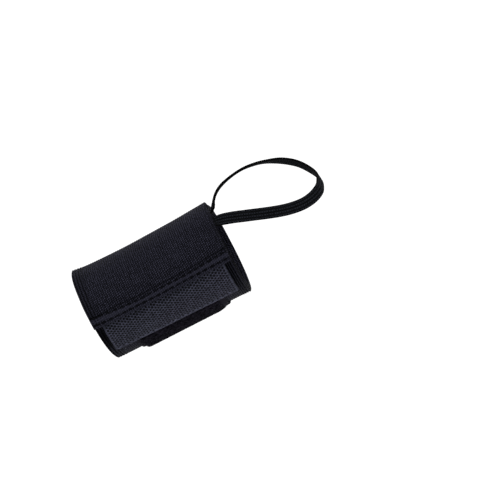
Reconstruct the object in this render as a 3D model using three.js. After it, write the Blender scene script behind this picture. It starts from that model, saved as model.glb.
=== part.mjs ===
// A black elastic wrist wrap with a thumb loop, in the shape it has when worn.
// Millimetres and degrees. +Z is up, +X points along the forearm to the hand, and
// -Y is the thumb side, where the wrap closes. The origin is the middle of the open
// hollow that the wrist fills. Angles are about +X, from +Y towards +Z, so that
// 90 is the top, 180 the thumb side and 270 the underside.
import * as THREE from 'three';

// The wrist that the wrap is wound on
const wristBreadth = 58;
const wristDepth = 40.2;
const topSquareness = 2.6;
const undersideSquareness = 2.05;

// The elastic band
const bandWidth = 76;
const bandThickness = 1.6;
const layerGap = 0.35;
const bandStartAngle = 118;
const bandTurns = 2.196;
const climbArc = 24;
const inwardDrift = 0.6;
const selvedgeWidth = 2.6;
const grooveDepth = 0.45;

// The hem, where the band's outer end is folded under and sewn in two rows
const hemLip = 1.7;
const stitchRowSpacing = 3.2;
const stitchSink = 0.5;
const hemPastTab = 2;
const hemRamp = 8;

// The hook tape tab, sewn in under the hem
const tabInset = 4.1;
const tabThickness = 1.2;
const tabShown = 16.6;
const tabSewnIn = 7.5;
const tabExtraAtHand = 2;

// The pile tape patch
const patchWidth = 49;
const patchMiddle = 1;
const patchThickness = 1.8;
const patchBacking = 0.6;
const pressedPile = 1;
const patchBelowHem = 4.4;
const patchBelowTab = 72;
const patchShoulder = 2.2;
const patchMargin = 1;
const patchRimWidth = 0.8;
const patchRowPitch = 3.4;

// The thumb loop
const loopWidth = 6.2;
const loopThickness = 1.25;
const loopSewnIn = 14;
const loopReach = 57;
const loopGroove = 0.2;

// Clearance between neighbouring pieces
const pieceGap = 0.3;

const bandEndAngle = bandStartAngle + 360 * bandTurns;
const layerPitch = bandThickness + layerGap;
const hemFold = tabSewnIn + hemPastTab;
const tabLength = bandWidth - 2 * tabInset;

// Sections along the forearm: along is a share of half the band's width, breadth and
// depth are shares of the wrist's, and rise is a share of half the wrist's depth.
const wristSections = [
  { along: -1, breadth: 1.03, depth: 1.028, rise: 0.034 },
  { along: -0.8, breadth: 1.015, depth: 1.012, rise: 0.004 },
  { along: -0.5, breadth: 1, depth: 1.003, rise: -0.006 },
  { along: -0.2, breadth: 1, depth: 1, rise: -0.009 },
  { along: 0.2, breadth: 1, depth: 1.009, rise: 0 },
  { along: 0.55, breadth: 1.01, depth: 1.02, rise: 0.01 },
  { along: 0.8, breadth: 1.02, depth: 1.033, rise: 0.024 },
  { along: 1, breadth: 1.035, depth: 1.047, rise: 0.03 },
];

// The selvedge: inset is a share of its width, top and bottom are shares of the wall.
const selvedge = [
  { inset: 0, bottom: 0.18, top: 0.68 },
  { inset: 0.12, bottom: 0.03, top: 0.95 },
  { inset: 0.4, bottom: 0, top: 1 },
  { inset: 0.66, bottom: 0, top: 1, groove: true },
  { inset: 1, bottom: 0, top: 1 },
];

function smooth(value) {
  const t = THREE.MathUtils.clamp(value, 0, 1);
  return t * t * (3 - 2 * t);
}

// A value of a table between its rows, eased through them
function tableValue(table, key, name, at) {
  const last = table.length - 1;
  const position = Math.min(Math.max(at, table[0][key]), table[last][key]);
  let row = 0;
  while (row < last - 1 && position > table[row + 1][key]) row += 1;
  const before = table[Math.max(row - 1, 0)];
  const from = table[row];
  const to = table[row + 1];
  const after = table[Math.min(row + 2, last)];
  const span = to[key] - from[key];
  const t = (position - from[key]) / span;
  const slopeFrom = (span * (to[name] - before[name])) / (to[key] - before[key]);
  const slopeTo = (span * (after[name] - from[name])) / (after[key] - from[key]);
  const square = t * t;
  const cube = square * t;
  return (
    (2 * cube - 3 * square + 1) * from[name] +
    (cube - 2 * square + t) * slopeFrom +
    (3 * square - 2 * cube) * to[name] +
    (cube - square) * slopeTo
  );
}

// The point at a height above the wrist's skin, and the way out from the skin there
function aboveWrist(x, angle, height) {
  const share = (2 * x) / bandWidth;
  const breadth = (wristBreadth / 2) * tableValue(wristSections, 'along', 'breadth', share);
  const depth = (wristDepth / 2) * tableValue(wristSections, 'along', 'depth', share);
  const rise = (wristDepth / 2) * tableValue(wristSections, 'along', 'rise', share);
  const cos = Math.cos(THREE.MathUtils.degToRad(angle));
  const sin = Math.sin(THREE.MathUtils.degToRad(angle));
  const power = sin > 0 ? topSquareness : undersideSquareness;
  const sum = Math.abs(cos / breadth) ** power + Math.abs(sin / depth) ** power;
  const radius = sum ** (-1 / power);
  const y = radius * cos;
  const z = radius * sin;
  const out = new THREE.Vector3(
    0,
    (Math.sign(y) * Math.abs(y / breadth) ** (power - 1)) / breadth,
    (Math.sign(z) * Math.abs(z / depth) ** (power - 1)) / depth,
  ).normalize();
  const point = new THREE.Vector3(x, y, z + rise).addScaledVector(out, height);
  return { point, out };
}

// The angle that lies a distance further round, measured at a height above the skin
function angleAfter(angle, height, distance) {
  const step = distance < 0 ? -0.5 : 0.5;
  let left = Math.abs(distance);
  let current = angle;
  while (left > 0) {
    const from = aboveWrist(0, current, height).point;
    const length = from.distanceTo(aboveWrist(0, current + step, height).point);
    current += step * Math.min(1, left / length);
    left -= length;
  }
  return current;
}

// A closed slab whose rows run round the wrist and whose columns run along it
function slabGeometry(rows, columns, place) {
  const positions = [];
  const index = [];
  const layer = rows.length * columns.length;
  for (const side of ['lower', 'upper']) {
    for (const row of rows) {
      for (const column of columns) positions.push(...place(row, column)[side].toArray());
    }
  }
  const at = (side, row, column) => side * layer + row * columns.length + column;
  const quad = (a, b, c, d) => index.push(a, b, c, a, c, d);
  const lastRow = rows.length - 1;
  const lastColumn = columns.length - 1;
  for (let row = 0; row < lastRow; row += 1) {
    for (let column = 0; column < lastColumn; column += 1) {
      quad(at(1, row, column), at(1, row, column + 1), at(1, row + 1, column + 1), at(1, row + 1, column));
      quad(at(0, row, column), at(0, row + 1, column), at(0, row + 1, column + 1), at(0, row, column + 1));
    }
    quad(at(0, row, 0), at(1, row, 0), at(1, row + 1, 0), at(0, row + 1, 0));
    quad(
      at(0, row, lastColumn),
      at(0, row + 1, lastColumn),
      at(1, row + 1, lastColumn),
      at(1, row, lastColumn),
    );
  }
  for (let column = 0; column < lastColumn; column += 1) {
    quad(at(0, 0, column), at(0, 0, column + 1), at(1, 0, column + 1), at(1, 0, column));
    quad(
      at(0, lastRow, column),
      at(1, lastRow, column),
      at(1, lastRow, column + 1),
      at(0, lastRow, column + 1),
    );
  }
  return closedGeometry(positions, index);
}

function closedGeometry(positions, index) {
  const geometry = new THREE.BufferGeometry();
  geometry.setAttribute('position', new THREE.Float32BufferAttribute(positions, 3));
  geometry.setIndex(signedVolume(positions, index) < 0 ? index.reverse() : index);
  geometry.computeVertexNormals();
  return geometry;
}

function signedVolume(positions, index) {
  const corner = (i) => new THREE.Vector3().fromArray(positions, 3 * index[i]);
  let volume = 0;
  for (let i = 0; i < index.length; i += 3) {
    volume += corner(i).dot(corner(i + 1).cross(corner(i + 2)));
  }
  return volume / 6;
}

// How high the band lies: each time it passes over its own start it climbs one layer
function bandHeight(angle) {
  const clearOfEdge = 2;
  let layers = 0;
  for (let turn = 1; turn <= bandTurns; turn += 1) {
    const top = bandStartAngle + 360 * turn - clearOfEdge;
    layers += smooth((angle - top + climbArc) / climbArc);
  }
  return layers * layerPitch;
}

// The height at which a piece rests on the layer that lies one turn further in
function onBand(angle) {
  return bandHeight(angle - 360) + bandThickness + pieceGap;
}

// The angle at a distance past the hem's edge, or before it
function pastHem(distance) {
  return angleAfter(bandEndAngle, onBand(bandEndAngle), distance);
}

// The hem's profile: back is measured from the folded edge
const rowOne = hemLip;
const rowTwo = hemLip + stitchRowSpacing;
const stitchSpread = 0.22 * stitchRowSpacing;
const hemThickness = 0.78 * bandThickness;
const stripThickness = 0.97 * bandThickness;
const hemProfile = [
  { back: 0, lift: 1, bottom: 0.18, thickness: 0.42 * hemThickness },
  { back: 0.25 * hemLip, lift: 1, bottom: 0, thickness: 0.95 * hemThickness },
  { back: rowOne - stitchSpread, lift: 1, bottom: 0, thickness: hemThickness },
  { back: rowOne, lift: 1, bottom: 0, thickness: stripThickness - stitchSink },
  { back: rowOne + stitchSpread, lift: 1, bottom: 0, thickness: 0.95 * stripThickness },
  { back: (rowOne + rowTwo) / 2, lift: 1, bottom: 0, thickness: stripThickness },
  { back: rowTwo - stitchSpread, lift: 1, bottom: 0, thickness: 0.95 * stripThickness },
  { back: rowTwo, lift: 1, bottom: 0, thickness: stripThickness - stitchSink },
  { back: rowTwo + stitchSpread, lift: 1, bottom: 0, thickness: 0.97 * bandThickness },
  { back: hemFold, lift: 1, bottom: 0, thickness: bandThickness },
  { back: hemFold + 0.3 * hemRamp, lift: 0.75, bottom: 0, thickness: bandThickness },
  { back: hemFold + 0.7 * hemRamp, lift: 0.25, bottom: 0, thickness: bandThickness },
  { back: hemFold + hemRamp, lift: 0, bottom: 0, thickness: bandThickness },
];

// The hem is lifted by the tab that is sewn in under it
const hemLift = tabThickness + 2 * pieceGap - layerGap;

function bandRows() {
  const angleStep = 7.5;
  const plain = { lift: 0, bottom: 0, thickness: bandThickness };
  const rows = [
    { ...plain, angle: bandStartAngle, bottom: 0.18, thickness: 0.45 * bandThickness },
    { ...plain, angle: bandStartAngle + 1, thickness: 0.95 * bandThickness },
  ];
  const hem = hemProfile.map((row) => ({ ...row, angle: pastHem(-row.back) })).reverse();
  for (let angle = bandStartAngle + angleStep; angle < hem[0].angle - angleStep / 2; angle += angleStep) {
    rows.push({ ...plain, angle });
  }
  return [...rows, ...hem];
}

function bandColumns() {
  const half = bandWidth / 2;
  const columns = [];
  for (const row of selvedge) columns.push({ ...row, x: -half + row.inset * selvedgeWidth });
  for (const section of wristSections.slice(1, -1)) {
    columns.push({ bottom: 0, top: 1, x: section.along * half });
  }
  for (const row of selvedge.toReversed()) columns.push({ ...row, x: half - row.inset * selvedgeWidth });
  return columns;
}

function wristBand() {
  const thinnest = 0.18 * bandThickness;
  const drift = (angle) => inwardDrift * (1 - smooth((angle - bandStartAngle) / 360));
  return slabGeometry(bandRows(), bandColumns(), (row, column) => {
    const x = column.x + drift(row.angle);
    const base = bandHeight(row.angle) + row.lift * hemLift;
    const dip = column.groove ? grooveDepth : 0;
    const bottom = base + Math.max(row.bottom, column.bottom) * bandThickness;
    const top = base + row.bottom * bandThickness + row.thickness * column.top - dip;
    return {
      lower: aboveWrist(x, row.angle, bottom).point,
      upper: aboveWrist(x, row.angle, Math.max(top, bottom + thinnest)).point,
    };
  });
}

function tabFreeEdge(x) {
  return tabShown + (tabExtraAtHand * x) / tabLength;
}

// The tab: under the hem it lies on the band, then it climbs onto the pressed pile
function hookTab() {
  const rim = 0.25 * tabThickness;
  const rows = [0, 0.02, 0.16, 0.31, 0.36, 0.41, 0.46, 0.52, 0.6, 0.7, 0.8, 0.9, 0.985, 1];
  const columns = [-1, -0.985, -0.5, 0, 0.5, 0.985, 1];
  return slabGeometry(rows, columns, (row, column) => {
    const x = (column * tabLength) / 2;
    const distance = -tabSewnIn + row * (tabSewnIn + tabFreeEdge(x));
    const angle = pastHem(distance);
    const climbed = smooth(distance / (0.85 * patchBelowHem));
    const bottom = onBand(angle) + climbed * (pressedPile + pieceGap);
    const edge = row === 0 || row === 1 || Math.abs(column) === 1 ? rim : 0;
    return {
      lower: aboveWrist(x, angle, bottom + edge).point,
      upper: aboveWrist(x, angle, bottom + tabThickness - edge).point,
    };
  });
}

// Distances past the hem at which the patch's rows lie, closest where the pile rises
function patchRows(start, end) {
  const rising = [0, 0.3, 0.6, 1].map((share) => tabShown + share * (patchShoulder + tabExtraAtHand));
  const rows = [start, start + patchRimWidth];
  const lastFlat = rising[0] - patchRimWidth;
  for (let at = start + patchRowPitch; at < lastFlat; at += patchRowPitch) rows.push(at);
  rows.push(...rising);
  const lastFree = end - patchRowPitch;
  for (let at = rising[3] + patchRowPitch; at < lastFree; at += patchRowPitch) rows.push(at);
  return [...rows, end - patchRimWidth, end];
}

// The patch: its pile is pressed flat under the tab and stands up past the tab's edge
function loopPatch() {
  const start = patchBelowHem;
  const end = tabShown + patchBelowTab;
  const half = patchWidth / 2;
  const columns = [
    { x: -half, pile: 0 },
    { x: -half + patchMargin, pile: 0 },
    { x: -half + patchMargin + 0.35 * patchShoulder, pile: 0.7 },
    { x: -half + patchMargin + patchShoulder, pile: 1 },
    { x: -half / 3, pile: 1 },
    { x: half / 3, pile: 1 },
    { x: half - 0.8 * patchShoulder, pile: 1 },
    { x: half - 0.2 * patchShoulder, pile: 0.75 },
    { x: half, pile: 0 },
  ];
  return slabGeometry(patchRows(start, end), columns, (distance, column) => {
    const x = patchMiddle + column.x;
    const angle = pastHem(distance);
    const risen = smooth((distance - tabFreeEdge(x) - pieceGap) / patchShoulder);
    const full = pressedPile + (patchThickness - pressedPile) * risen;
    const pile = distance === start || distance === end ? 0 : column.pile;
    const height = patchBacking + (full - patchBacking) * pile;
    return {
      lower: aboveWrist(x, angle, onBand(angle)).point,
      upper: aboveWrist(x, angle, onBand(angle) + height).point,
    };
  });
}

// The free run of the loop from its front strand round the thumb to its top strand.
// reach is a share of the loop's reach past the band, side a share of half the
// wrist's breadth, rise a share of half its depth, and the last three say which way
// the flat face looks.
const loopRun = [
  { reach: 0.047, side: -0.793, rise: 0.735, faceX: 0, faceY: -0.9, faceZ: 0.4 },
  { reach: 0.153, side: -0.855, rise: 0.653, faceX: 0, faceY: -1, faceZ: 0.2 },
  { reach: 0.253, side: -0.897, rise: 0.552, faceX: 0, faceY: -1, faceZ: 0.1 },
  { reach: 0.353, side: -0.924, rise: 0.45, faceX: 0, faceY: -1, faceZ: 0 },
  { reach: 0.451, side: -0.931, rise: 0.35, faceX: 0.05, faceY: -1, faceZ: 0 },
  { reach: 0.551, side: -0.914, rise: 0.258, faceX: 0.1, faceY: -1, faceZ: 0 },
  { reach: 0.654, side: -0.869, rise: 0.188, faceX: 0.2, faceY: -1, faceZ: 0 },
  { reach: 0.765, side: -0.786, rise: 0.157, faceX: 0.35, faceY: -1, faceZ: 0 },
  { reach: 0.86, side: -0.67, rise: 0.196, faceX: 0.6, faceY: -0.9, faceZ: 0 },
  { reach: 0.935, side: -0.5, rise: 0.295, faceX: 0.9, faceY: -0.65, faceZ: 0 },
  { reach: 0.968, side: -0.26, rise: 0.42, faceX: 1, faceY: -0.3, faceZ: 0.05 },
  { reach: 0.98, side: 0.03, rise: 0.6, faceX: 1, faceY: 0.1, faceZ: 0.15 },
  { reach: 0.94, side: 0.3, rise: 0.86, faceX: 0.85, faceY: 0.45, faceZ: 0.4 },
  { reach: 0.86, side: 0.44, rise: 1.16, faceX: 0.55, faceY: 0.5, faceZ: 0.7 },
  { reach: 0.74, side: 0.41, rise: 1.41, faceX: 0.3, faceY: 0.4, faceZ: 0.85 },
  { reach: 0.6, side: 0.29, rise: 1.575, faceX: 0.1, faceY: 0.05, faceZ: 1 },
  { reach: 0.463, side: 0.14, rise: 1.645, faceX: 0, faceY: 0, faceZ: 1 },
  { reach: 0.374, side: 0.05, rise: 1.645, faceX: -0.05, faceY: 0, faceZ: 1 },
  { reach: 0.246, side: -0.07, rise: 1.58, faceX: -0.25, faceY: 0, faceZ: 1 },
  { reach: 0.156, side: -0.15, rise: 1.49, faceX: -0.5, faceY: 0, faceZ: 0.9 },
  { reach: 0.098, side: -0.19, rise: 1.38, faceX: -0.65, faceY: -0.03, faceZ: 0.75 },
  { reach: 0.053, side: -0.22, rise: 1.235, faceX: -0.7, faceY: -0.05, faceZ: 0.7 },
  { reach: 0.018, side: -0.25, rise: 1.085, faceX: -0.5, faceY: -0.15, faceZ: 0.85 },
];

// A sewn end lies flat on the skin side of the band, low enough for the band's curve
function sewnEnd(row) {
  const curveRoom = loopWidth ** 2 / (2.4 * wristDepth);
  const height = -pieceGap - curveRoom - loopThickness / 2;
  const edge = bandWidth / 2 + inwardDrift;
  const angle = THREE.MathUtils.radToDeg(Math.atan2(row.rise * wristDepth, row.side * wristBreadth));
  return [edge - loopSewnIn, edge - 0.5 * loopSewnIn, edge - 0.1 * loopSewnIn].map((x) => {
    const { point, out } = aboveWrist(x, angle, height);
    return { point, face: out };
  });
}

function loopStations() {
  const edge = bandWidth / 2 + inwardDrift;
  const free = loopRun.map((row) => ({
    point: new THREE.Vector3(
      edge + row.reach * loopReach,
      (row.side * wristBreadth) / 2,
      (row.rise * wristDepth) / 2,
    ),
    face: new THREE.Vector3(row.faceX, row.faceY, row.faceZ).normalize(),
  }));
  return [...sewnEnd(loopRun[0]), ...free, ...sewnEnd(loopRun.at(-1)).reverse()];
}

// The flat braid's section: across is a share of its width, up a share of its thickness
const braidSection = [
  { across: -0.5, up: -0.2 },
  { across: -0.44, up: -0.5 },
  { across: -0.08, up: -0.5 },
  { across: 0, up: -0.5, groove: 1 },
  { across: 0.08, up: -0.5 },
  { across: 0.44, up: -0.5 },
  { across: 0.5, up: -0.2 },
  { across: 0.5, up: 0.2 },
  { across: 0.44, up: 0.5 },
  { across: 0.08, up: 0.5 },
  { across: 0, up: 0.5, groove: -1 },
  { across: -0.08, up: 0.5 },
  { across: -0.44, up: 0.5 },
  { across: -0.5, up: 0.2 },
];

function thumbLoop() {
  const loopSteps = 72;
  const stations = loopStations();
  const path = new THREE.CatmullRomCurve3(stations.map((s) => s.point));
  const facing = new THREE.CatmullRomCurve3(stations.map((s) => s.face));
  const positions = [];
  const index = [];
  const count = braidSection.length;
  for (let step = 0; step <= loopSteps; step += 1) {
    const at = step / loopSteps;
    const along = path.getTangent(at);
    const face = facing.getPoint(at);
    face.addScaledVector(along, -face.dot(along)).normalize();
    const across = new THREE.Vector3().crossVectors(face, along);
    for (const corner of braidSection) {
      const height = corner.up * loopThickness + (corner.groove || 0) * loopGroove;
      const point = path.getPoint(at);
      point.addScaledVector(across, corner.across * loopWidth).addScaledVector(face, height);
      positions.push(...point.toArray());
    }
  }
  for (let step = 0; step < loopSteps; step += 1) {
    for (let i = 0; i < count; i += 1) {
      const next = (i + 1) % count;
      const here = step * count;
      const there = here + count;
      index.push(here + i, here + next, there + next, here + i, there + next, there + i);
    }
  }
  for (let i = 1; i < count - 1; i += 1) {
    const end = loopSteps * count;
    index.push(0, i + 1, i, end, end + i, end + i + 1);
  }
  return closedGeometry(positions, index);
}

function piece(name, geometry, color, roughness) {
  const material = new THREE.MeshStandardMaterial({ color, roughness, metalness: 0 });
  const mesh = new THREE.Mesh(geometry, material);
  mesh.name = name;
  return mesh;
}

const wristWrap = new THREE.Group();
wristWrap.add(piece('wrist_band', wristBand(), 0x1f1f28, 0.9));
wristWrap.add(piece('hook_tab', hookTab(), 0x2a2a33, 0.8));
wristWrap.add(piece('loop_patch', loopPatch(), 0x141318, 1));
wristWrap.add(piece('thumb_loop', thumbLoop(), 0x26222a, 0.85));

export default wristWrap;
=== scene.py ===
# %% [markdown]
# # A black elastic wrist wrap with a thumb loop
# The wrap is one wide strip of ribbed elastic, wound a little over two turns round the wrist.
# Its outer end is folded and sewn down over a tab of hook tape, which holds on a patch of pile
# tape. A flat braided elastic makes the loop for the thumb.
# The imported solids give the band's width and the tab's length. Each soft solid gets a finer piece
# of cloth here, made on the same curves, with the ribs, stitches, hooks and pile that the solid
# leaves out.

import math

import bpy
import numpy as np
from mathutils import Matrix, Vector


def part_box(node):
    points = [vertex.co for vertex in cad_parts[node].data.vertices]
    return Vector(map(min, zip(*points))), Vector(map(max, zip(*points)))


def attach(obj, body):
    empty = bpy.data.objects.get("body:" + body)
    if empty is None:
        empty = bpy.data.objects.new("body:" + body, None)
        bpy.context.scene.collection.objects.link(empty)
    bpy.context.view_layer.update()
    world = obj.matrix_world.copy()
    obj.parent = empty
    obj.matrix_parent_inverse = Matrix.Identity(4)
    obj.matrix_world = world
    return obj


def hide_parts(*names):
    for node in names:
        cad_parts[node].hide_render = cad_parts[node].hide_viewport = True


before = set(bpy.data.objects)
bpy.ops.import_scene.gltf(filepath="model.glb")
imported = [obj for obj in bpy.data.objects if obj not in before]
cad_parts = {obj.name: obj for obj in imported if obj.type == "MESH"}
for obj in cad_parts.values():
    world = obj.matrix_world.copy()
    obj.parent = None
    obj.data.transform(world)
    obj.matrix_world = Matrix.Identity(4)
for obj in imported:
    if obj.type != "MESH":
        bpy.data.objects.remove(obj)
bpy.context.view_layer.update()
MM = 0.001
for node in sorted(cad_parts):
    low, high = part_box(node)
    print(node, "measures", [round(side / MM, 1) for side in high - low], "mm")

# %% [markdown]
# ## The wrist under the cloth
# Everything here is wound on one form, so that form comes first. A wrist's section is no
# ellipse: its top is flatter than its underside. A superellipse with two powers draws that, and
# a short table of sections widens it towards the hand and the forearm. Angles run about +X from
# +Y towards +Z, so 90 degrees is the top and 180 the thumb side.

# %% The wrist's sizes
WRIST_BREADTH = 58 * MM
WRIST_DEPTH = 40.2 * MM
TOP_SQUARENESS = 2.6
UNDERSIDE_SQUARENESS = 2.05
INWARD_DRIFT = 0.6 * MM
band_low, band_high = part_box("wrist_band")
BAND_WIDTH = band_high.x - band_low.x - INWARD_DRIFT
# along is a share of half the band's width, the others are shares of the wrist's sizes
WRIST_SECTIONS = {
    "along": [-1, -0.8, -0.5, -0.2, 0.2, 0.55, 0.8, 1],
    "breadth": [1.03, 1.015, 1, 1, 1, 1.01, 1.02, 1.035],
    "depth": [1.028, 1.012, 1.003, 1, 1.009, 1.02, 1.033, 1.047],
    "rise": [0.034, 0.004, -0.006, -0.009, 0, 0.01, 0.024, 0.03],
}
print("the band is", round(BAND_WIDTH / MM, 2), "mm wide")


# %% A section of the wrist, and the way out from its skin
def smooth(value):
    t = np.clip(value, 0, 1)
    return t * t * (3 - 2 * t)


def cubic(t, start, end, slope_from, slope_to):
    value = (2 * t**3 - 3 * t**2 + 1) * start + (3 * t**2 - 2 * t**3) * end
    return value + (t**3 - 2 * t**2 + t) * slope_from + (t**3 - t**2) * slope_to


def unit(vectors):
    return vectors / np.linalg.norm(vectors, axis=-1, keepdims=True)


def section_value(name, share):
    """A column of the sections' table, eased through its rows."""
    at = np.array(WRIST_SECTIONS["along"], float)
    value = np.array(WRIST_SECTIONS[name], float)
    share = np.clip(share, at[0], at[-1])
    row = np.clip(np.searchsorted(at, share, side="left") - 1, 0, len(at) - 2)
    before = np.maximum(row - 1, 0)
    after = np.minimum(row + 2, len(at) - 1)
    span = at[row + 1] - at[row]
    t = (share - at[row]) / span
    slope_from = span * (value[row + 1] - value[before]) / (at[row + 1] - at[before])
    slope_to = span * (value[after] - value[row]) / (at[after] - at[row])
    return cubic(t, value[row], value[row + 1], slope_from, slope_to)


def above_wrist(x, angle, height):
    """Points at a height above the wrist's skin, and the way out there."""
    x, angle, height = np.broadcast_arrays(x, angle, height)
    share = 2 * x / BAND_WIDTH
    breadth = WRIST_BREADTH / 2 * section_value("breadth", share)
    depth = WRIST_DEPTH / 2 * section_value("depth", share)
    rise = WRIST_DEPTH / 2 * section_value("rise", share)
    cos, sin = np.cos(np.radians(angle)), np.sin(np.radians(angle))
    power = np.where(sin > 0, TOP_SQUARENESS, UNDERSIDE_SQUARENESS)
    radius = (np.abs(cos / breadth) ** power + np.abs(sin / depth) ** power) ** (-1 / power)
    y, z = radius * cos, radius * sin
    out_y = np.sign(y) * np.abs(y / breadth) ** (power - 1) / breadth
    out_z = np.sign(z) * np.abs(z / depth) ** (power - 1) / depth
    out = unit(np.stack([np.zeros_like(y), out_y, out_z], -1))
    return np.stack([x, y, z + rise], -1) + height[..., None] * out, out


# %% [markdown]
# ## The spiral
# The strip climbs one layer each time it passes over its own start. The hem, the tab and the
# patch are all placed by how far they lie past the hem's folded edge, measured round the wrist,
# so one small table turns such a distance into an angle.

# %% Layers and distances
BAND_THICKNESS = 1.6 * MM
LAYER_PITCH = BAND_THICKNESS + 0.35 * MM
TURNS = 2.196
START_ANGLE = 118
END_ANGLE = START_ANGLE + 360 * TURNS
CLIMB_ARC = 24
CLEAR_OF_EDGE = 2
PIECE_GAP = 0.3 * MM


def band_height(angle):
    tops = [START_ANGLE + 360 * turn - CLEAR_OF_EDGE for turn in (1, 2)]
    return LAYER_PITCH * sum(smooth((angle - top + CLIMB_ARC) / CLIMB_ARC) for top in tops)


def on_band(angle):
    """The height of what rests on the layer one turn further in."""
    return band_height(angle - 360) + BAND_THICKNESS + PIECE_GAP


def lengths_along(points):
    """How far along a line each of its points lies."""
    return np.concatenate([[0], np.cumsum(np.linalg.norm(np.diff(points, axis=0), axis=1))])


# every half degree, from 400 degrees before the hem's folded edge to 260 past it
ANGLES = END_ANGLE + np.arange(-800, 520) * 0.5
ring = above_wrist(0.0, ANGLES, float(on_band(END_ANGLE)))[0]
LENGTHS = lengths_along(ring)
LENGTHS -= np.interp(END_ANGLE, ANGLES, LENGTHS)


def past_hem(distance):
    """The angle at a distance past the hem's folded edge, or before it."""
    return np.interp(distance, LENGTHS, ANGLES)


print("the hem's folded edge lies at", round(END_ANGLE % 360, 1), "degrees")

# %% [markdown]
# ## Cloth as a closed slab
# A strip of cloth is a grid with a skin side and an outer side, closed round its rim. One
# function builds it from two grids of points and keeps a UV map that lies on the cloth, so that
# a weave follows the strip round the wrist. The sign of the volume says if the faces look in.
#
# Each point also carries a depth, which its material reads as painted light. Above 0 it lies in a
# groove or a pit, or close beside a raised edge, and painted shade darkens it. Below 0 its colour
# is drawn lighter and even: a painted highlight on the band's crests and hem, and an even tone on
# the pile's bare backing.

# %% A mesh from points and quads
def in_scene(name, data):
    """An object in the scene, with its mesh, light or camera."""
    made = bpy.data.objects.new(name, data)
    bpy.context.scene.collection.objects.link(made)
    return made


def mesh_object(name, points, quads, uv, depth):
    """A smooth mesh with its UV map and its points' depths, which paint shade and highlight into its
    colour.
    """
    mesh = bpy.data.meshes.new(name)
    mesh.from_pydata(points.tolist(), [], quads.tolist())
    layer = mesh.uv_layers.new(name="UVMap")
    layer.data.foreach_set("uv", uv[quads.ravel()].astype(np.float32).ravel())
    deep = mesh.attributes.new("depth", "FLOAT", "POINT")
    deep.data.foreach_set("value", np.clip(depth, -1, 1).astype(np.float32).ravel())
    mesh.shade_smooth()
    print(name, "has", 2 * len(quads), "triangles")
    return in_scene(name, mesh)


def rounded(inside, radius, least):
    """How much of its thickness cloth has at a distance inside a round rim, from least to 1."""
    arc = 1 - (1 - np.minimum(inside / radius, 1)) ** 2
    return least + (1 - least) * np.sqrt(np.clip(arc, 0, 1))


def facing_out(points, quads):
    a, b, c, d = (points[quads[:, i]] for i in range(4))
    volume = np.einsum("ij,ij->", a, np.cross(b, c)) + np.einsum("ij,ij->", a, np.cross(c, d))
    return quads if volume > 0 else quads[:, ::-1]


def grid_quads(index):
    return np.stack([index[:-1, :-1], index[1:, :-1], index[1:, 1:], index[:-1, 1:]], -1).reshape(-1, 4)


def uv_grid(across, along):
    return np.stack(np.broadcast_arrays(across, along), -1)


def slab(name, lower, upper, uv, depth):
    """A closed strip between two grids of points, rows round the wrist, columns along it."""
    rows, columns = lower.shape[:2]
    index = np.arange(rows * columns).reshape(rows, columns)
    up = index + rows * columns
    faces = [grid_quads(index), grid_quads(up)[:, ::-1]]
    for edge, turn in ((np.s_[:, 0], 1), (np.s_[:, -1], -1), (np.s_[0], -1), (np.s_[-1], 1)):
        low, high = index[edge], up[edge]
        faces.append(np.stack([low[:-1], high[:-1], high[1:], low[1:]], -1)[:, ::turn])
    points = np.concatenate([lower.reshape(-1, 3), upper.reshape(-1, 3)])
    quads = facing_out(points, np.concatenate(faces))
    both = np.concatenate([uv.reshape(-1, 2), uv.reshape(-1, 2)])
    outer = np.broadcast_to(depth, lower.shape[:2]).ravel()
    return mesh_object(name, points, quads, both, np.concatenate([0 * outer, outer]))


# %% [markdown]
# ## The elastic band
# Wide elastic is knitted over rubber threads that run lengthwise, so fine ribs about 1 mm apart
# run round the wrist, and a few wider ridges follow each selvedge. Bump alone would vanish at
# the edges, so each rib is real geometry, four columns wide. The first UV coordinate counts ribs
# and the second is the length of cloth in millimetres.

# %% Ribs across the band
FOREARM_RIDGES = np.array([1.0, 1.5, 1.5, 1.4]) * MM
HAND_RIDGES = np.array([1.4, 1.15, 1.1, 1.1]) * MM
RIDGE_HEIGHT = 0.27 * MM
RIDGE_COLUMNS = 6
RIB_PITCH = 1.075 * MM
RIB_HEIGHT = 0.1 * MM
RIB_COLUMNS = 4
half_band = BAND_WIDTH / 2
forearm_ends = np.append(0, np.cumsum(FOREARM_RIDGES)) - half_band
hand_ends = half_band - np.append(0, np.cumsum(HAND_RIDGES))
plain_from, plain_to = forearm_ends[-1], hand_ends[-1]
RIBS = round((plain_to - plain_from) / RIB_PITCH)
ridges = len(FOREARM_RIDGES)
ridge_steps = np.arange(ridges * RIDGE_COLUMNS) / RIDGE_COLUMNS
plain_steps = ridges + np.arange(RIBS * RIB_COLUMNS) / RIB_COLUMNS
rib_at = np.concatenate([ridge_steps, plain_steps, ridges + RIBS + np.append(ridge_steps, ridges)])
rib_knots = np.append(np.arange(ridges + 1), ridges + RIBS + np.arange(ridges + 1))
column_x = np.interp(rib_at, rib_knots, np.append(forearm_ends, hand_ends[::-1]))
in_plain = smooth(np.minimum(column_x - plain_from, plain_to - column_x) / RIB_PITCH + 0.5)
rib_wave = -np.cos(math.tau * rib_at) * (RIDGE_HEIGHT + (RIB_HEIGHT - RIDGE_HEIGHT) * in_plain)
print(RIBS, "ribs and", len(column_x), "columns across the band")

# %% [markdown]
# The hem is the folded end of the strip. Two rows of stitches pull it down, so the cloth between
# them swells and a narrow lip stands past the first row. Each stitch sits in its own small pit,
# and a faint crease runs behind the second row.

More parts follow.
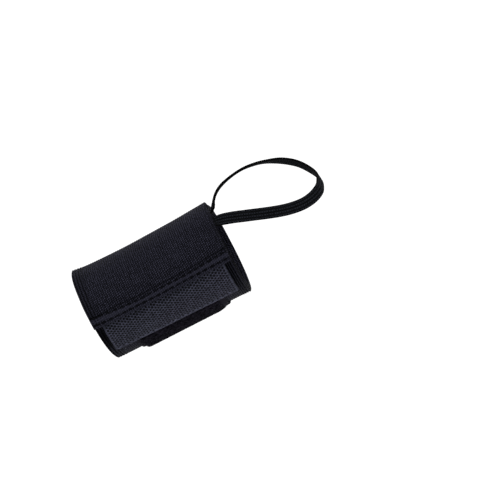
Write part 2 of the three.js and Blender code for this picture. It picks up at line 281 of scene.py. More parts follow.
# %% The hem's profile and pits
HEM_LIP = 1.7 * MM
ROW_SPACING = 2.1 * MM
WIDER_AT_FOREARM = 1.1 * MM
WIDER_AT_HAND = 0.6 * MM
HEM_FOLD = 9.5 * MM
HEM_RAMP = 8 * MM
HEM_LIFT = 1.45 * MM
FOLD_ROUND = 0.55 * MM
STITCH_PITCH = 3.75 * MM
STITCH_LENGTH = 2.4 * MM
GROOVE_DEPTH = 0.05 * MM
PIT_DEPTH = 0.35 * MM
PIT_REACH = 0.42 * MM
CREASE_BACK = 1.6 * MM
CREASE_DEPTH = 0.2 * MM
CREASE_REACH = 0.35 * MM
HEM_STITCHES = int((BAND_WIDTH - 1.5 * MM) / STITCH_PITCH) + 1
STITCH_SPAN = (HEM_STITCHES - 1) * STITCH_PITCH


def row_back(row, x):
    """How far a stitch row lies back from the folded edge: the upper one sags in the middle."""
    share = x / half_band
    wider = WIDER_AT_FOREARM * smooth((-share - 0.3) / 0.7) + WIDER_AT_HAND * smooth((share - 0.3) / 0.7)
    return HEM_LIP + row * (ROW_SPACING + wider)


def stitch_dent(x, back):
    """How deep the two stitch rows and the crease pull the cloth down."""
    to_stitch = (x + STITCH_SPAN / 2 + STITCH_PITCH / 2) % STITCH_PITCH - STITCH_PITCH / 2
    along = np.exp(-((to_stitch / (0.45 * STITCH_LENGTH)) ** 4))
    dent = 0
    for row in (0, 1):
        across = np.exp(-(((back - row_back(row, x)) / PIT_REACH) ** 2))
        dent = dent + across * (GROOVE_DEPTH + PIT_DEPTH * along)
    # the crease runs into the second row at the forearm's edge
    crease_back = row_back(1, x) + CREASE_BACK * smooth((x / half_band + 0.96) / 0.4)
    return dent + CREASE_DEPTH * np.exp(-(((back - crease_back) / CREASE_REACH) ** 2))


def hem_lift(back):
    return HEM_LIFT * (1 - smooth((back - HEM_FOLD) / HEM_RAMP))


def hem_thickness(back):
    """The folded edge is round, the lip is thin and the cloth swells between the rows."""
    thin = np.interp(back, [0, HEM_LIP, 1.6 * HEM_LIP], [0.58, 0.8, 1])
    return BAND_THICKNESS * thin * rounded(back, FOLD_ROUND, 0.42)


# %% The band's rows and its two faces
SELVEDGE_ROUND = 0.8 * MM
FOREARM_FLATNESS = 0.45
HAND_FLATNESS = 0.8


def band_rows():
    """The angles of the rows: few where they are hidden, more in sight and most in the hem."""
    ramp = np.array([17.5, 15.1, 12.7, 11, 9.5, 8.4, 7.6]) * MM
    sewn = np.arange(7.0 * MM, 0.6 * MM, -0.27 * MM)
    hem = past_hem(-np.concatenate([ramp, sewn, np.array([0.35, 0.15, 0]) * MM]))
    hidden = np.arange(START_ANGLE + 8, START_ANGLE + 416, 8.5)
    in_sight = np.arange(hidden[-1] + 4.6, hem[0] - 2, 4.6)
    start = [START_ANGLE, START_ANGLE + 0.6, START_ANGLE + 2]
    return np.concatenate([start, hidden, in_sight, hem])


angles = band_rows()[:, None]
drift = INWARD_DRIFT * (1 - smooth((angles - START_ANGLE) / 360))
x_grid = column_x + drift
back = -np.interp(angles, ANGLES, LENGTHS)
to_side = half_band - np.abs(column_x)
rim = rounded(to_side, SELVEDGE_ROUND, 0.3)
start_end = 0.45 + 0.55 * smooth((angles - START_ANGLE) / 1.2)
thickness = hem_thickness(back) * rim * start_end
middle = band_height(angles) + hem_lift(back) + BAND_THICKNESS / 2
in_hem = smooth((HEM_FOLD + 1.5 * MM - back) / (1.5 * MM))
# the last turn is pulled tight, which draws its ridges flat
outer_layer = smooth((angles - END_ANGLE + 300) / 60)
at_hand = column_x > 0
drawn_flat = outer_layer * np.where(at_hand, HAND_FLATNESS, FOREARM_FLATNESS) * (1 - in_plain)
dent = stitch_dent(x_grid, back) * (back < HEM_FOLD)
top = middle + thickness / 2 + rib_wave * rim * (1 - 0.35 * in_hem) * (1 - drawn_flat) - dent
bottom = middle - thickness / 2 - 0.5 * rib_wave * rim
upper, _ = above_wrist(x_grid, angles, np.maximum(top, bottom + 0.2 * MM))
lower, _ = above_wrist(x_grid, angles, bottom)

# %% The band's painted shade and highlight, and its mesh
# painted shade in a groove, painted highlight on a crest and painted shade in a pit; the hem's painted
# highlight is taken off the depth, and a fade weakens the last turn's painted ridge shading
GROOVE_SHADE = 1.5
CREST_SHADE = -0.8
FOREARM_FADE = 0.25
PIT_SHADE = 1.4
HEM_SHINE = 0.7
LIP_SHINE = 0.6
TAB_SHOWN = 16.6 * MM
CHANNEL_WIDTH = 5 * MM
FOREARM_CHANNEL_SHADE = 0.75
HAND_CHANNEL_SHADE = 0.2
# painted shade in the selvedge ridges' grooves and painted highlight on their crests, weaker on the last
# turn
in_groove = 0.5 + 0.5 * np.cos(math.tau * rib_at)
painted_ridge_shading = (CREST_SHADE + (GROOVE_SHADE - CREST_SHADE) * in_groove) * (1 - in_plain)
painted_ridge_shading = painted_ridge_shading * (1 - outer_layer * np.where(at_hand, HAND_FLATNESS, FOREARM_FADE))
# painted highlight on the swollen strip between the hem's two rows, and a weaker one on its lip
between = (back - HEM_LIP) / (row_back(1, x_grid) - HEM_LIP)
painted_hem_highlight = np.where((between > 0) & (between < 1), np.sin(math.pi * between), 0.0)
painted_hem_highlight = np.maximum(painted_hem_highlight, LIP_SHINE * (back < 0.7 * HEM_LIP))
# the tab lies one turn further out; painted shadow darkens the narrow channel past each of its ends
past = np.interp(angles + 360, ANGLES, LENGTHS)
hand_channel_shadow = HAND_CHANNEL_SHADE * smooth((to_side - 1.2 * MM) / (1.4 * MM))
channel_shadow_strength = np.where(at_hand, hand_channel_shadow, FOREARM_CHANNEL_SHADE) * (to_side < CHANNEL_WIDTH)
painted_channel_shadow = smooth(past / (1 * MM)) * smooth((TAB_SHOWN - past) / (3 * MM)) * channel_shadow_strength
# painted shade in the hem's stitch pits, grooves and crease, less the painted highlight, plus the ridges'
# painted light and the channel's painted shadow
band_painted_light = PIT_SHADE * dent / (GROOVE_DEPTH + PIT_DEPTH) - HEM_SHINE * painted_hem_highlight
band_painted_light = band_painted_light + painted_ridge_shading + painted_channel_shadow
cloth_length = lengths_along(lower[:, len(column_x) // 2])
band_uv = uv_grid(rib_at, cloth_length[:, None] / MM)
elastic_band = slab("elastic_band", lower, upper, band_uv, band_painted_light)
print("the wound strip is", round(cloth_length[-1] / MM), "mm long")

# %% [markdown]
# ## The hook tape tab
# Hook tape is a woven strip with rows of nylon hooks. From behind, where each hook is anchored
# a small dark pit shows, in a staggered pattern, with a plain woven border round it. The grid's
# steps divide the pattern's pitch, so that each pit gets the same faces. The pits aren't all as
# deep, and painted shade darkens each by its depth; painted shade also makes the rim a little
# darker than the field, most at the tab's rounded ends.

# %% The tab
tab_low, tab_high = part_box("hook_tab")
TAB_LENGTH = tab_high.x - tab_low.x
TAB_THICKNESS = 1.2 * MM
TAB_SEWN_IN = 7.5 * MM
TAB_SKEW = 2 * MM
HOOK_COLUMNS = 1.375 * MM
HOOK_ROWS = 1.35 * MM
HOOK_BORDER = 1.9 * MM
END_BORDER = 1.2 * MM
PRESSED_PILE = 1 * MM
PATCH_BELOW_HEM = 4.4 * MM
HOOK_PIT = 0.26 * MM
HOOK_PIT_WIDTH = 0.58 * MM
HOOK_PIT_LENGTH = 0.46 * MM
HOOK_PIT_SHADE = 1.8
SIDE_SHADE = 0.45
EDGE_SHADE = 0.15


def free_edge(x):
    return TAB_SHOWN + TAB_SKEW * x / TAB_LENGTH


def tab_underside(x, distance):
    climbed = smooth(distance / (0.85 * PATCH_BELOW_HEM))
    return on_band(past_hem(distance)) + climbed * (PRESSED_PILE + PIECE_GAP)


hook_columns = int((TAB_LENGTH - 2 * END_BORDER) / HOOK_COLUMNS) + 1
hook_x = (np.arange(hook_columns) - (hook_columns - 1) / 2) * HOOK_COLUMNS
hook_rows = int((TAB_SHOWN - HOOK_BORDER + TAB_SEWN_IN) / HOOK_ROWS)
hook_sites = []
for column, x in enumerate(hook_x):
    for row in range(hook_rows + 1):
        distance = free_edge(x) - HOOK_BORDER - (row + 0.5 * (column % 2)) * HOOK_ROWS
        if distance > -0.6 * TAB_SEWN_IN:
            hook_sites.append((x, distance))
hook_sites = np.array(hook_sites)
print(len(hook_sites), "hooks in", hook_columns, "columns")


def hook_pits(x, to_edge):
    """How deep the staggered pits lie below the tape's back."""
    column = np.round((x - hook_x[0]) / HOOK_COLUMNS)
    across = x - hook_x[0] - column * HOOK_COLUMNS
    shift = 0.5 * (np.mod(column, 2) == 1) * HOOK_ROWS
    inside = to_edge - HOOK_BORDER - shift
    row = np.maximum(np.round(inside / HOOK_ROWS), 0)
    along = inside - row * HOOK_ROWS
    held = (column >= 0) & (column < hook_columns)
    reach = (across / HOOK_PIT_WIDTH) ** 2 + (along / HOOK_PIT_LENGTH) ** 2
    uneven = 0.85 + 0.15 * np.sin(2.7 * column + 4.1 * row + 1.3 * column * row)
    return HOOK_PIT * held * uneven * np.exp(-(reach**1.5))


# %% The tab's cloth
STEPS_PER_PITCH = 6
BORDER_RIB_PITCH = 0.62 * MM
BORDER_RIB_HEIGHT = 0.05 * MM
TAB_ROUND = 0.5 * MM
tab_columns = round(TAB_LENGTH / HOOK_COLUMNS * STEPS_PER_PITCH) + 1
tab_x = np.linspace(-TAB_LENGTH / 2, TAB_LENGTH / 2, tab_columns)
tab_reach = TAB_SHOWN + TAB_SEWN_IN
to_edge = np.append(np.arange(0, tab_reach, HOOK_ROWS / STEPS_PER_PITCH), tab_reach)[:, None]
# rows past the sewn end would fold over each other, so they stop there, a hair apart
distance = np.maximum(free_edge(tab_x) - to_edge, -TAB_SEWN_IN - 0.001 * to_edge)
to_side = TAB_LENGTH / 2 - np.abs(tab_x)
border_ribs = BORDER_RIB_HEIGHT * np.cos(math.tau * to_edge / BORDER_RIB_PITCH)
border_ribs = border_ribs * (to_edge < HOOK_BORDER - 0.3 * MM)
tab_rim = rounded(np.minimum(to_side, to_edge), TAB_ROUND, 0.35)
mid = tab_underside(tab_x, distance) + TAB_THICKNESS / 2
tab_top = mid + (TAB_THICKNESS / 2 + border_ribs) * tab_rim - hook_pits(tab_x, to_edge)
tab_bottom = mid - TAB_THICKNESS / 2 * tab_rim
tab_upper, _ = above_wrist(tab_x, past_hem(distance), tab_top)
tab_lower, _ = above_wrist(tab_x, past_hem(distance), tab_bottom)
tab_uv = uv_grid(tab_x / MM, to_edge / MM)
# painted shade in the hook pits, at the tab's rounded ends and, lighter, along the border at its free edge
tab_painted_shade = HOOK_PIT_SHADE * hook_pits(tab_x, to_edge) / HOOK_PIT
tab_painted_shade = tab_painted_shade + SIDE_SHADE * (to_side < 0.6 * MM) + EDGE_SHADE * (to_edge < HOOK_BORDER - 0.4 * MM)
hook_tape = slab("hook_tape", tab_lower, tab_upper, tab_uv, tab_painted_shade)

# %% [markdown]
# ## The pile patch
# Pile tape is a woven backing with a thick fuzz of fine nylon loops. The body of the pile is a
# slab whose top is roughened by seeded noise. Its hand end thins slowly, and its last 3 mm are
# bare backing. Single loops come later, by Geometry Nodes.

# %% The patch
PATCH_WIDTH = 49 * MM
PATCH_MIDDLE = 1 * MM
PATCH_THICKNESS = 1.8 * MM
PATCH_BACKING = 0.6 * MM
PATCH_END = TAB_SHOWN + 72 * MM
PATCH_SHOULDER = 2.2 * MM
PATCH_MARGIN = 1 * MM
HAND_SLOPE = 7 * MM
HAND_MARGIN = 3 * MM
MARGIN_BLUR = 0.6 * MM
PILE_STEP = 0.45 * MM
PILE_ROUGHNESS = 0.13 * MM
chance = np.random.default_rng(11)


def pile_share(x, distance):
    """0 on the bare backing at the rim, 1 on the full pile."""
    inner = smooth((x + PATCH_WIDTH / 2 - PATCH_MARGIN) / (0.8 * PATCH_SHOULDER))
    to_hand_rim = PATCH_WIDTH / 2 - x
    outer = 0.15 * smooth(to_hand_rim / (0.4 * MM)) + 0.85 * smooth(to_hand_rim / HAND_SLOPE)
    ends = np.minimum(distance - PATCH_BELOW_HEM, PATCH_END - distance)
    return inner * outer * smooth(ends / (1.2 * MM))


def pile_top(x, distance):
    """The height of the pile's body above the skin: pressed under the tab, free past it."""
    risen = smooth((distance - free_edge(x) - PIECE_GAP) / PATCH_SHOULDER)
    full = PRESSED_PILE + (PATCH_THICKNESS - PRESSED_PILE) * risen
    return PATCH_BACKING + (full - PATCH_BACKING) * pile_share(x - PATCH_MIDDLE, distance)


pile_x = PATCH_MIDDLE + np.linspace(-0.5, 0.5, round(PATCH_WIDTH / PILE_STEP)) * PATCH_WIDTH
pile_rows = round((PATCH_END - PATCH_BELOW_HEM) / PILE_STEP)
pile_distance = np.linspace(PATCH_BELOW_HEM, PATCH_END, pile_rows)[:, None]
fuzz = chance.normal(0, 1, (pile_distance.size, pile_x.size))
fuzz += np.roll(fuzz, 1, 0) + np.roll(fuzz, 1, 1) + np.roll(fuzz, (1, 1), (0, 1))
fuzz = np.clip(fuzz / 2, -2, 2)
free = pile_share(pile_x - PATCH_MIDDLE, pile_distance)
free = free * smooth((pile_distance - free_edge(pile_x)) / PATCH_SHOULDER)
to_hand_rim = PATCH_MIDDLE + PATCH_WIDTH / 2 - pile_x
bare = 1 - smooth((to_hand_rim - HAND_MARGIN) / MARGIN_BLUR + 0.5)
tufted = free * (1 - bare)
tops = pile_top(pile_x, pile_distance) + fuzz * PILE_ROUGHNESS * tufted
base = on_band(past_hem(pile_distance))
pile_upper, _ = above_wrist(pile_x, past_hem(pile_distance), base + tops)
pile_lower, _ = above_wrist(pile_x, past_hem(pile_distance), base)
pile_uv = uv_grid(pile_x / MM, pile_distance / MM)
# painted shade in the low spots of the rough top; the bare backing at the hand side gets an even tone, a
# little lighter than the pile
pile_shade_and_tone = np.clip(-fuzz / 2, 0, 1) * tufted - bare
pile_tape = slab("pile_tape", pile_lower, pile_upper, pile_uv, pile_shade_and_tone)

# %% [markdown]
# ## The thumb loop
# A flat braid follows a few listed points, with a facing for each, on one smooth curve.
# Both of its ends are sewn on the skin side of the band. The braid's own ribs and slanted plaits
# are raised in the mesh, because the loop is seen edge-on against the background.

# %% The loop's route
LOOP_WIDTH = 6.2 * MM
LOOP_THICKNESS = 1.25 * MM
LOOP_SEWN_IN = 14 * MM
LOOP_REACH = 57 * MM
# reach past the band, then side and rise as shares of half the wrist, then the flat face's way
LOOP_RUN = [
    (0.047, -0.793, 0.735, (0, -0.9, 0.4)),
    (0.153, -0.855, 0.653, (0, -1, 0.2)),
    (0.253, -0.897, 0.552, (0, -1, 0.1)),
    (0.353, -0.924, 0.45, (0, -1, 0)),
    (0.451, -0.931, 0.35, (0.05, -1, 0)),
    (0.551, -0.914, 0.258, (0.1, -1, 0)),
    (0.654, -0.869, 0.188, (0.2, -1, 0)),
    (0.765, -0.786, 0.157, (0.35, -1, 0)),
    (0.86, -0.67, 0.196, (0.6, -0.9, 0)),
    (0.935, -0.5, 0.295, (0.9, -0.65, 0)),
    (0.968, -0.26, 0.42, (1, -0.3, 0.05)),
    (0.98, 0.03, 0.6, (1, 0.1, 0.15)),
    (0.94, 0.3, 0.86, (0.85, 0.45, 0.4)),
    (0.86, 0.44, 1.16, (0.55, 0.5, 0.7)),
    (0.74, 0.41, 1.41, (0.3, 0.4, 0.85)),
    (0.6, 0.29, 1.575, (0.1, 0.05, 1)),
    (0.463, 0.14, 1.645, (0, 0, 1)),
    (0.374, 0.05, 1.645, (-0.05, 0, 1)),
    (0.246, -0.07, 1.58, (-0.25, 0, 1)),
    (0.156, -0.15, 1.49, (-0.5, 0, 0.9)),
    (0.098, -0.19, 1.38, (-0.65, -0.03, 0.75)),
    (0.053, -0.22, 1.235, (-0.7, -0.05, 0.7)),
    (0.018, -0.25, 1.085, (-0.5, -0.15, 0.85)),
]
loop_edge = half_band + INWARD_DRIFT


def sewn_end(side, rise):
    """Three stations of an end that lies flat on the skin side, and the way it faces."""
    height = -PIECE_GAP - LOOP_WIDTH**2 / (2.4 * WRIST_DEPTH) - LOOP_THICKNESS / 2
    angle = math.degrees(math.atan2(rise * WRIST_DEPTH, side * WRIST_BREADTH))
    x = loop_edge - LOOP_SEWN_IN * np.array([1, 0.5, 0.1])
    return above_wrist(x, angle, height)


first_points, first_out = sewn_end(*LOOP_RUN[0][1:3])
last_points, last_out = sewn_end(*LOOP_RUN[-1][1:3])
free_points = np.array([
    (loop_edge + reach * LOOP_REACH, side * WRIST_BREADTH / 2, rise * WRIST_DEPTH / 2)
    for reach, side, rise, _ in LOOP_RUN
])
free_face = unit(np.array([face for *_, face in LOOP_RUN], float))
stations = np.concatenate([first_points, free_points, last_points[::-1]])
facings = np.concatenate([first_out, free_face, last_out[::-1]])


# %% A smooth curve through chosen points
def through(points, at):
    """A centripetal Catmull-Rom curve through points, for shares from 0 to 1."""
    padded = np.array([2 * points[0] - points[1], *points, 2 * points[-1] - points[-2]])
    place = np.clip(at, 0, 1) * (len(points) - 1)
    row = np.minimum(place.astype(int), len(points) - 2)
    t = (place - row)[:, None]
    p0, p1, p2, p3 = (padded[row + i] for i in range(4))
    pairs = ((p0, p1), (p1, p2), (p2, p3))
    d0, d1, d2 = (np.sqrt(np.linalg.norm(b - a, axis=1, keepdims=True)) for a, b in pairs)
    m1 = d1 * ((p1 - p0) / d0 - (p2 - p0) / (d0 + d1) + (p2 - p1) / d1)
    m2 = d1 * ((p2 - p1) / d1 - (p3 - p1) / (d1 + d2) + (p3 - p2) / d2)
    return cubic(t, p1, p2, m1, m2)


fine = np.linspace(0, 1, 6001)
run = through(stations, fine)
run_length = lengths_along(run)
LOOP_STEP = 0.3 * MM
loop_at = np.interp(np.arange(0, run_length[-1], LOOP_STEP), run_length, fine)
loop_path = through(stations, loop_at)
loop_along = unit(np.gradient(loop_path, axis=0))
loop_face = through(facings, loop_at)
loop_face = unit(loop_face - np.sum(loop_face * loop_along, 1, keepdims=True) * loop_along)
loop_across = np.cross(loop_face, loop_along)
print("the braid is", round(run_length[-1] / MM), "mm long with its sewn ends")

# %% The braid's section, swept along the route
BRAID_RIBS = 4
BRAID_RIB_HEIGHT = 0.2 * MM
BRAID_GROOVE = 0.2 * MM
PLAIT_PITCH = 1.25 * MM
PLAIT_HEIGHT = 0.06 * MM
STEPS_PER_RIB = 8
# shares of the braid's width, from its middle line
FACE_HALF = 0.485
GROOVE_HALF = 0.035
EDGE_FROM, EDGE_OVER = 0.38, 0.08
face_steps = np.linspace(-FACE_HALF, FACE_HALF, BRAID_RIBS * STEPS_PER_RIB + 1)
section_across = np.concatenate([face_steps, face_steps[::-1]])
section_side = np.repeat([-1.0, 1.0], len(face_steps))
ribs = np.abs(np.cos(math.pi * BRAID_RIBS * (section_across + 0.5) - math.pi / 2)) - 0.6
edge_round = np.sqrt(np.clip(1 - (2 * np.abs(section_across)) ** 10, 0.1, 1))
groove = np.exp(-((section_across / GROOVE_HALF) ** 2))
rise = LOOP_THICKNESS / 2 * edge_round + ribs * BRAID_RIB_HEIGHT * edge_round - BRAID_GROOVE * groove
rib_number = np.floor((section_across + 0.5) * BRAID_RIBS)
slant = np.where(rib_number % 2 == 0, 1, -1) * section_across * LOOP_WIDTH
travel = np.arange(len(loop_at))[:, None] * LOOP_STEP
plait = PLAIT_HEIGHT * np.cos(math.tau * (travel + slant) / PLAIT_PITCH) * edge_round
rise = (rise + plait) * section_side
loop_rings = loop_path[:, None, :] + loop_across[:, None, :] * (section_across * LOOP_WIDTH)[:, None]
loop_rings = loop_rings + loop_face[:, None, :] * rise[..., None]


def swept(name, rings, uv, depth):
    """A tube from rings of points, closed by a fan of quads at each end."""
    count, around = rings.shape[:2]
    index = np.arange(count * around).reshape(count, around)
    following = np.roll(index, -1, axis=1)
    wall = np.stack([index[:-1], following[:-1], following[1:], index[1:]], -1).reshape(-1, 4)
    half = around // 2
    caps = []
    for ring_index, turn in ((index[0], -1), (index[-1], 1)):
        low, high = ring_index[:half], ring_index[half:][::-1]
        caps.append(np.stack([low[:-1], low[1:], high[1:], high[:-1]], -1)[:, ::turn])
    points = rings.reshape(-1, 3)
    quads = facing_out(points, np.concatenate([wall, *caps]))
    return mesh_object(name, points, quads, uv.reshape(-1, 2), np.broadcast_to(depth, (count, around)))


# painted shade darkens the groove, the valleys between the ribs and both rounded edges
painted_rim_shade = np.clip((np.abs(section_across) - EDGE_FROM) / EDGE_OVER, 0, 1)
braid_painted_shade = np.maximum(np.maximum(groove, np.clip(0.38 - ribs, 0, 1)), painted_rim_shade)
loop_uv = uv_grid(section_across * LOOP_WIDTH / MM, travel / MM)
thumb_braid = swept("thumb_braid", loop_rings, loop_uv, braid_painted_shade)

# %% [markdown]
# ## Stitches, hooks and pile by Geometry Nodes
# What repeats is grown by node trees, built here with named inputs for their sizes. A stitch is
# a bent piece of thread set along a path, a hook or its root stands on a point with a way out,
# and a pile loop stands on a face with a random turn from a fixed seed. Each tree ends in real
# geometry with its material, which is then kept as a plain mesh.

# %% Building a tree, and keeping what it grows
def add_node(tree, kind, inputs=(), **settings):
    """Adds a node with its settings, values and links, and gives its outputs."""
    made = tree.nodes.new(kind)
    for key, value in settings.items():
        setattr(made, key, value)
    for key, value in dict(inputs).items():
        if isinstance(value, bpy.types.NodeSocket):
            tree.links.new(value, made.inputs[key])
        else:
            made.inputs[key].default_value = value
    return made.outputs


def product(tree, first, second):
    return add_node(tree, "ShaderNodeMath", {0: first, 1: second}, operation="MULTIPLY")[0]


def new_tree(name, sizes):
    """A geometry tree with its sizes as named inputs."""
    tree = bpy.data.node_groups.new(name, "GeometryNodeTree")
    tree.interface.new_socket("Geometry", in_out="INPUT", socket_type="NodeSocketGeometry")
    tree.interface.new_socket("Material", in_out="INPUT", socket_type="NodeSocketMaterial")
    for size, value in sizes.items():
        kind = "NodeSocketInt" if isinstance(value, int) else "NodeSocketFloat"
        tree.interface.new_socket(size, in_out="INPUT", socket_type=kind).default_value = value
    tree.interface.new_socket("Geometry", in_out="OUTPUT", socket_type="NodeSocketGeometry")
    return tree, tree.nodes.new("NodeGroupInput").outputs


def end_tree(tree, material, **placing):
    """Sets the instances in place, makes them real and gives them their material."""
    placed = add_node(tree, "GeometryNodeInstanceOnPoints", placing)
    real = add_node(tree, "GeometryNodeRealizeInstances", {"Geometry": placed[0]})
    dressed = add_node(tree, "GeometryNodeSetMaterial", {"Geometry": real[0], "Material": material})
    add_node(tree, "NodeGroupOutput", {"Geometry": dressed[0]})
    return tree


def bent(tree, steps, start, middle, end):
    """A short bent line."""
    ends = {"Resolution": steps, "Start": start, "Middle": middle, "End": end}
    return add_node(tree, "GeometryNodeCurveQuadraticBezier", ends)[0]


def sized(tree, curve, scale):
    return add_node(tree, "GeometryNodeTransform", {"Geometry": curve, "Scale": scale})[0]


def thread_on(tree, curve, width, sides, capped):
    """A round thread of a width along a line."""
    circle = {"Resolution": sides, "Radius": product(tree, width, 0.5)}
    profile = add_node(tree, "GeometryNodeCurvePrimitiveCircle", circle)
    parts = {"Curve": curve, "Profile Curve": profile[0], "Fill Caps": capped}
    return add_node(tree, "GeometryNodeCurveToMesh", parts)[0]


def standing(tree, along):
    """A turn that lays X along a way, then tilts about X until Z is on the point's way out."""
    way = add_node(tree, "GeometryNodeInputNamedAttribute", {"Name": "out"}, data_type="FLOAT_VECTOR")
    align = "FunctionNodeAlignRotationToVector"
    turn = add_node(tree, align, {"Vector": along}, axis="X")
    return add_node(tree, align, {"Rotation": turn[0], "Vector": way[0]}, axis="Z", pivot_axis="X")[0]


def grown(name, source, tree, material, **sizes):
    """What a tree grows on a source mesh, kept as a plain mesh."""
    made = in_scene(name, source)
    modifier = made.modifiers.new("grow", "NODES")
    modifier.node_group = tree
    values = {"Material": material, **{key.replace("_", " "): value for key, value in sizes.items()}}
    for socket in tree.interface.items_tree:
        if socket.in_out == "INPUT" and socket.name in values:
            modifier[socket.identifier] = values[socket.name]
    graph = bpy.context.evaluated_depsgraph_get()
    plain = bpy.data.meshes.new_from_object(made.evaluated_get(graph), depsgraph=graph)
    made.modifiers.clear()
    made.data = plain
    plain.name = name
    plain.shade_smooth()
    plain.calc_loop_triangles()
    print(name, "has", len(plain.loop_triangles), "triangles")
    return made


def guide(points, out, edges=()):
    """A mesh of points, or of lines between them, that know their way out."""
    mesh = bpy.data.meshes.new("guide")
    mesh.from_pydata(points.tolist(), list(edges), [])
    way = mesh.attributes.new("out", "FLOAT_VECTOR", "POINT")
    way.data.foreach_set("vector", out.astype(np.float32).ravel())
    return mesh


def lines(paths):
    """Several paths of points and ways out as one guide."""
    points = np.concatenate([path[0] for path in paths])
    out = np.concatenate([path[1] for path in paths])
    edges, start = [], 0
    for path in paths:
        edges += [(start + i, start + i + 1) for i in range(len(path[0]) - 1)]
        start += len(path[0])
    return guide(points, out, edges)


# %% A tree for stitches
def stitch_tree():
    tree, sizes = new_tree(
        "stitches", {"Pitch": STITCH_PITCH, "Length": STITCH_LENGTH, "Thread": 0.3 * MM, "Arch": 0.2 * MM}
    )
    curve = add_node(tree, "GeometryNodeMeshToCurve", {"Mesh": sizes["Geometry"]})
    steps = {"Curve": curve[0], "Length": sizes["Pitch"]}
    spots = add_node(tree, "GeometryNodeResampleCurve", steps, mode="LENGTH")
    sink = product(tree, sizes["Arch"], -1.0)
    ends = [
        add_node(tree, "ShaderNodeCombineXYZ", {"X": product(tree, sizes["Length"], half), "Z": sink})
        for half in (-0.5, 0.5)
    ]
    crown = add_node(tree, "ShaderNodeCombineXYZ", {"Z": sizes["Arch"]})
    line = bent(tree, 6, ends[0][0], crown[0], ends[1][0])
    return end_tree(
        tree,
        sizes["Material"],
        Points=spots[0],
        Instance=thread_on(tree, line, sizes["Thread"], 8, True),
        Rotation=standing(tree, add_node(tree, "GeometryNodeInputTangent")[0]),
    )


# %% A tree for hooks and for their roots
def hook_tree(name, start, middle, end, sides):
    """A bent filament that stands on each point, along its way out."""
    tree, sizes = new_tree(name, {"Scale": MM, "Filament": 0.18 * MM})
    line = sized(tree, bent(tree, 5, start, middle, end), sizes["Scale"])
    return end_tree(
        tree,
        sizes["Material"],
        Points=sizes["Geometry"],
        Instance=thread_on(tree, line, sizes["Filament"], sides, True),
        Rotation=standing(tree, (1.0, 0.0, 0.0)),
    )


# %% A tree for pile
def pile_tree():
    """Loops strewn on a sheet, each with its own turn, lean and size."""
    tree, sizes = new_tree(
        "pile loops", {"Density": 5.0 / MM**2, "Loop": 0.5 * MM, "Fibre": 0.07 * MM, "Seed": 5}
    )
    sheet = {"Mesh": sizes["Geometry"], "Density": sizes["Density"], "Seed": sizes["Seed"]}
    spread = add_node(tree, "GeometryNodeDistributePointsOnFaces", sheet)
    line = sized(tree, bent(tree, 3, (-0.4, 0, -0.3), (0.1, 0.15, 1.4), (0.5, 0, -0.3)), sizes["Loop"])
    lean = math.radians(38)
    ways = {"Min": (-lean, -lean, 0.0), "Max": (lean, lean, math.tau), "Seed": sizes["Seed"]}
    turn = add_node(tree, "FunctionNodeRandomValue", ways, data_type="FLOAT_VECTOR")
    as_turn = add_node(tree, "FunctionNodeEulerToRotation", {"Euler": turn[0]})
    turned = {"Rotation": spread["Rotation"], "Rotate By": as_turn[0]}
    stand = add_node(tree, "FunctionNodeRotateRotation", turned, rotation_space="LOCAL")
    growth = {2: 0.6, 3: 1.25, "Seed": sizes["Seed"]}
    grow = add_node(tree, "FunctionNodeRandomValue", growth, data_type="FLOAT")
    return end_tree(
        tree,
        sizes["Material"],
        Points=spread["Points"],
        Instance=thread_on(tree, line, sizes["Fibre"], 3, False),
        Rotation=stand[0],
        Scale=grow[1],
    )


# %% [markdown]
# ## Finishes
# Black cloth is never one flat black. Its threads catch light on their crests and lose it in the
# gaps. Each material mixes a deep and a raised colour by the same pattern that drives its bump,
# and where that pattern follows the threads, the mix paints highlight on their crests and shade in
# their gaps. Colours are sRGB hex values, turned to linear by one function.

# %% Colour, and a cloth's shader
def linear(hex_value):
    channels = [(hex_value >> shift & 255) / 255 for shift in (16, 8, 0)]
    return (*(c / 12.92 if c <= 0.04045 else ((c + 0.055) / 1.055) ** 2.4 for c in channels), 1.0)


def new_material(name):
    material = bpy.data.materials.new(name)
    material.use_nodes = True
    material.node_tree.nodes.clear()
    return material, material.node_tree


def surface(tree, colour, roughness, specular, **more):
    look = {"Base Color": colour, "Roughness": roughness, "Specular IOR Level": specular, **more}
    shader = add_node(tree, "ShaderNodeBsdfPrincipled", look)
    add_node(tree, "ShaderNodeOutputMaterial", {"Surface": shader[0]})


def on_cloth(tree):
    """The place on the cloth: across it and along it."""
    return add_node(tree, "ShaderNodeUVMap", uv_map="UVMap")[0]


def stripes(tree, coordinate, per_u, per_v):
    """Sine stripes, dark at 0 and bright half a cycle on, so many cycles per unit of u and v."""
    way = (math.tau * per_u, math.tau * per_v, 0.0)
    turns = add_node(tree, "ShaderNodeVectorMath", {0: coordinate, 1: way}, operation="DOT_PRODUCT")
    wave = add_node(tree, "ShaderNodeMath", {0: turns["Value"]}, operation="COSINE")
    return add_node(tree, "ShaderNodeMath", {0: wave[0], 1: -0.5, 2: 0.5}, operation="MULTIPLY_ADD")[0]


def stretched(tree, value, low, high):
    """A number's range from low to high, drawn out to 0 and 1."""
    return add_node(tree, "ShaderNodeMapRange", {"Value": value, "From Min": low, "From Max": high})[0]


def blend_of(tree, first, second, share):
    """A number between two others."""
    return add_node(tree, "ShaderNodeMix", {"Factor": share, "A": first, "B": second}, data_type="FLOAT")[0]


# the depths at which painted shade makes a cloth quite dark and the colour turns quite even, and the
# brightness of that even colour
FULLY_DARK = 0.9
FULLY_EVEN = -1.3
EVEN_BRIGHTNESS = 0.7


